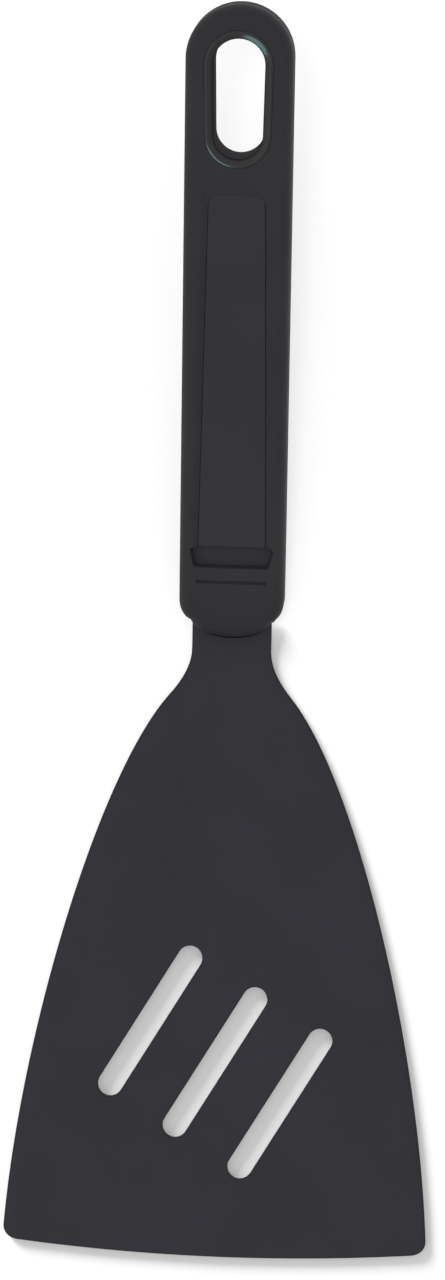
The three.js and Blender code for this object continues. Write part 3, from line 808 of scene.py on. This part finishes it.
# the liner's bore is painted 2.2 times paler, as painted light
rim_gloss_and_bore_light(EYELET_PLASTIC, glossy=0.2, bore_painted_light=2.2)
STEEL = metal("stainless_steel", (0.55, 0.56, 0.57), 0.32)
ALUMINIUM = metal("rivet_aluminium", (0.6, 0.61, 0.62), 0.36, brushed=False)


def dress(piece, material, node_name):
    """Gives a new piece its material and its body, and hides the CAD node that it stands for."""
    piece.data.materials.clear()
    piece.data.materials.append(material)
    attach(piece, "root")
    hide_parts(node_name)
    return piece


# ---------------------------------------------------------------- assembly
top = top_shell()
hollow_top(top)
smooth(top, 42)
back = bottom_shell()
hollow_back(back)
smooth(back, 42)
blade_piece = dress(blade(), BLADE_NYLON, "blade")
dress(tang(), BLADE_NYLON, "blade")
dress(top, SHELL_NYLON, "handle_top_shell")
dress(back, SHELL_NYLON, "handle_bottom_shell")
dress(inlay(), INLAY_PLASTIC, "grip_inlay")
rim = dress(eyelet(), EYELET_PLASTIC, "hang_hole_eyelet")
for rivet_name, rivet_y in RIVETS.items():
    dress(rivet(rivet_name + "_domed", rivet_y), ALUMINIUM, rivet_name)

looks = [piece for piece in bpy.context.scene.objects if piece.type == "MESH"]
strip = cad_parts["tang_stiffener"]
strip.data.materials.clear()
strip.data.materials.append(STEEL)


# ---------------------------------------------------------------- floor, light and camera
def plain(name, colour, roughness=0.9):
    material = bpy.data.materials.new(name)
    material.use_nodes = True
    shader = material.node_tree.nodes["Principled BSDF"]
    shader.inputs["Base Color"].default_value = (*colour, 1)
    shader.inputs["Roughness"].default_value = roughness
    shader.inputs["Specular IOR Level"].default_value = 0.0
    return material


def floor():
    mesh = bpy.data.meshes.new("floor")
    side, drop = 6.0, -0.00005
    corners = [(-side, -side, drop), (side, -side, drop), (side, side, drop), (-side, side, drop)]
    mesh.from_pydata(corners, [], [(0, 1, 2, 3)])
    piece = bpy.data.objects.new("floor", mesh)
    bpy.context.scene.collection.objects.link(piece)
    mesh.materials.append(plain("floor_white", (0.86, 0.86, 0.86)))
    return piece


def lamp(name, place, target, size, power, colour=(1, 1, 1)):
    data = bpy.data.lights.new(name, "AREA")
    data.shape = "DISK"
    data.size = size
    data.energy = power
    data.color = colour
    piece = bpy.data.objects.new(name, data)
    piece.location = place
    aim = Vector(target) - Vector(place)
    piece.rotation_euler = aim.to_track_quat("-Z", "Y").to_euler()
    bpy.context.scene.collection.objects.link(piece)
    return piece


def sun(name, heading, elevation, width, strength):
    """A far, wide light: heading is the flat direction it comes from, the angles are in degrees."""
    data = bpy.data.lights.new(name, "SUN")
    data.angle = math.radians(width)
    data.energy = strength
    piece = bpy.data.objects.new(name, data)
    flat = Vector(heading).normalized()
    towards = Vector((flat.x, flat.y, math.tan(math.radians(elevation))))
    piece.rotation_euler = towards.to_track_quat("Z", "Y").to_euler()
    bpy.context.scene.collection.objects.link(piece)
    return piece


def only(light, receivers, blockers=None):
    """Limits what a light falls on and, where given, what throws its shadow."""
    for kind, pieces in (("receiver", receivers), ("blocker", blockers)):
        if pieces is None:
            continue
        group = bpy.data.collections.new(light.name + "_" + kind)
        for piece in pieces:
            group.objects.link(piece)
        setattr(light.light_linking, kind + "_collection", group)


def sky(brightness):
    world = bpy.data.worlds.new("studio")
    world.use_nodes = True
    background = world.node_tree.nodes["Background"]
    background.inputs["Color"].default_value = (1, 1, 1, 1)
    background.inputs["Strength"].default_value = brightness
    bpy.context.scene.world = world


CAMERA_PLACE = (0.0570, 0.0359, 0.9408)
CAMERA_TARGET = (-0.00235, 0.00029, 0)
CAMERA_LEAN = -0.0305  # of the picture's upright from +Y, in radians
CAMERA_LENS = 109.4


def camera():
    data = bpy.data.cameras.new("camera")
    data.sensor_width = 36
    data.lens = CAMERA_LENS
    data.clip_start, data.clip_end = 0.05, 20
    piece = bpy.data.objects.new("camera", data)
    place, target = Vector(CAMERA_PLACE), Vector(CAMERA_TARGET)
    forward = (target - place).normalized()
    upright = Vector((math.sin(CAMERA_LEAN), math.cos(CAMERA_LEAN), 0))
    right = forward.cross(upright).normalized()
    up = right.cross(forward)
    piece.matrix_world = Matrix.Translation(place) @ Matrix((right, up, -forward)).transposed().to_4x4()
    bpy.context.scene.collection.objects.link(piece)
    bpy.context.scene.camera = piece


stand = floor()
sky(0.5)

# on the floor only: the blade's shadow, an even light that nothing shades, and the handle's faint shadow
key = sun("key", (-0.62, 0.78), 20, 26, 4.9)
only(key, receivers=[stand], blockers=[blade_piece])
glow = sun("glow", (-1, 0), 84, 26, 0.46)
only(glow, receivers=[stand], blockers=[stand])
halo = sun("halo", (-1, 0), 84, 14, 0.32)
only(halo, receivers=[stand], blockers=[top, back])

# on the spatula only: a soft light from the left, one from above, and the cyan glints on the liner's rim
fill = sun("fill", (-0.8, -0.6), 50, 60, 0.35)
only(fill, receivers=looks)
overhead = sun("overhead", (0, 0.1), 85, 100, 0.6)
only(overhead, receivers=looks)
teal = lamp("teal", (-0.154, -0.106, 0.142), (0, 0.13, 0.04), 0.22, 1.1, (0.42, 0.97, 0.93))
teal.visible_diffuse = False
only(teal, receivers=[rim])

camera()
bpy.context.scene.view_settings.view_transform = "Standard"
